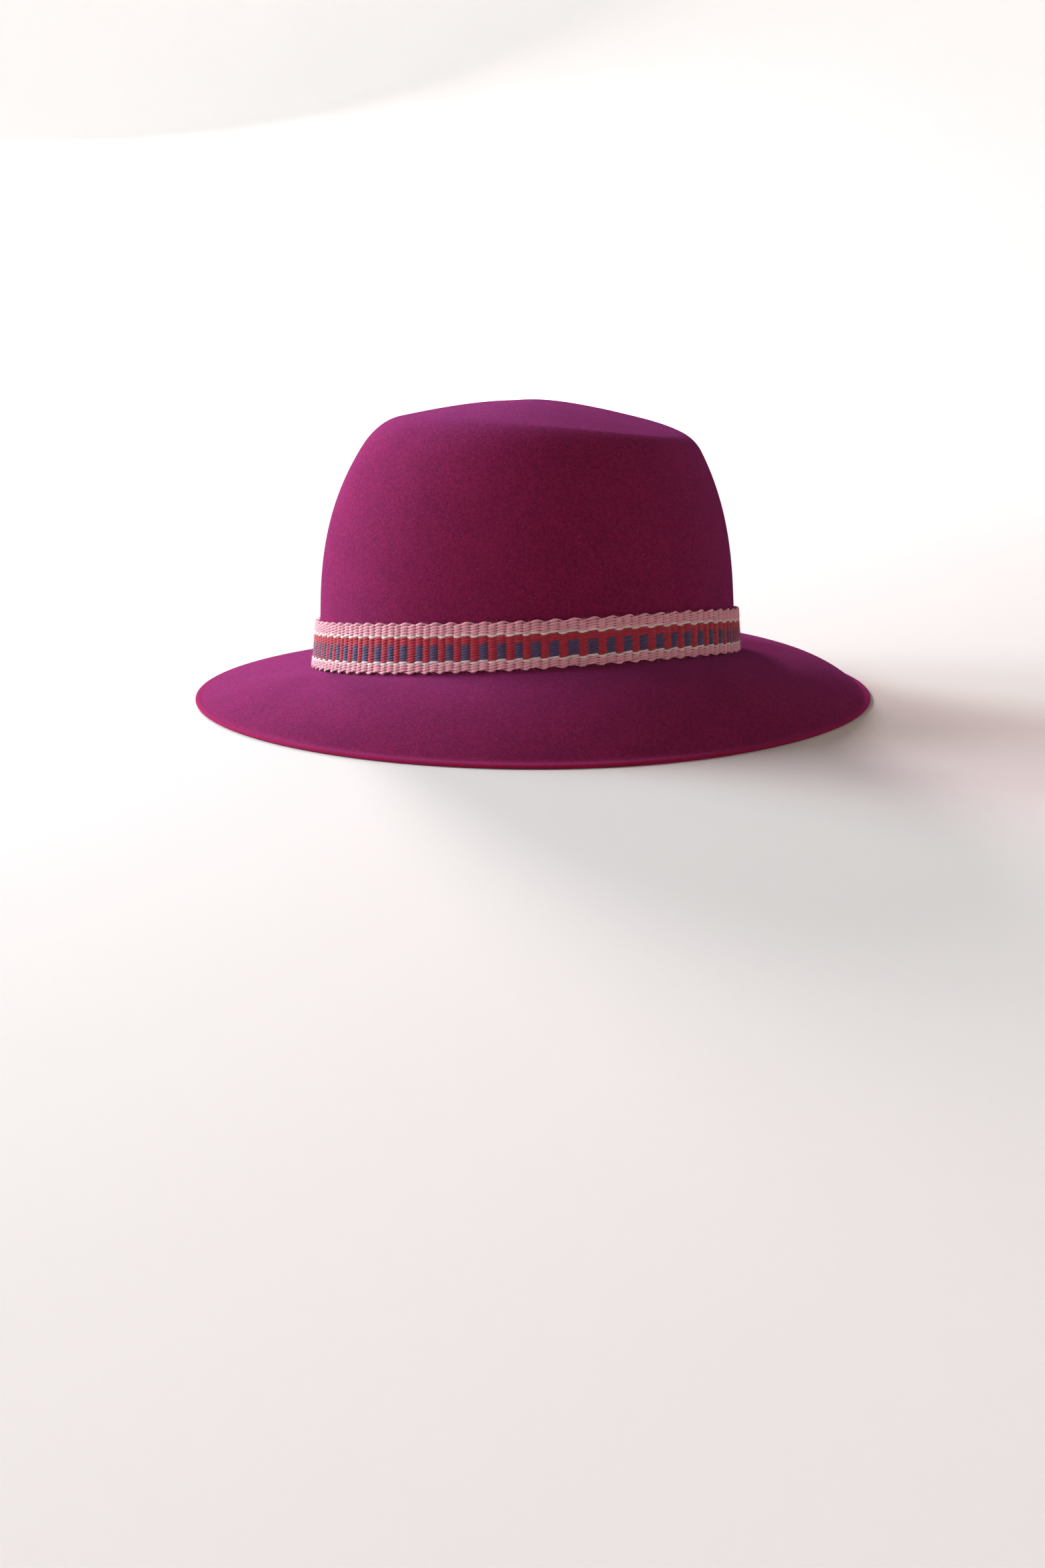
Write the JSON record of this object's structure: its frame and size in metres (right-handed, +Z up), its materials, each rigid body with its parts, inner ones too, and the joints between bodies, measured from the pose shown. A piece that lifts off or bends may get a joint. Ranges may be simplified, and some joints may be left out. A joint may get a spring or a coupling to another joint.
{
  "type": "felt trilby hat",
  "caption": "Soft felt trilby hat with a domed crown, a drooping brim and a woven striped band round the foot of the crown.",
  "frame": {"origin": "on the surface that the brim's cut edge rests on, under the middle of the hat's box", "axes": "+Z up; -Y towards the wearer's front and +Y towards the back, along the hat's length; +X towards the wearer's left"},
  "size_m": [0.2886, 0.3204, 0.135],
  "materials": {
    "wool_felt": "matt brushed wool felt with a short nap",
    "woven_band": "ribbed warp-faced wool weave in rose, cream, red and navy"
  },
  "bodies": {
    "root": {"felt_body": "wool_felt", "hat_band": "woven_band"}
  },
  "joints": []
}
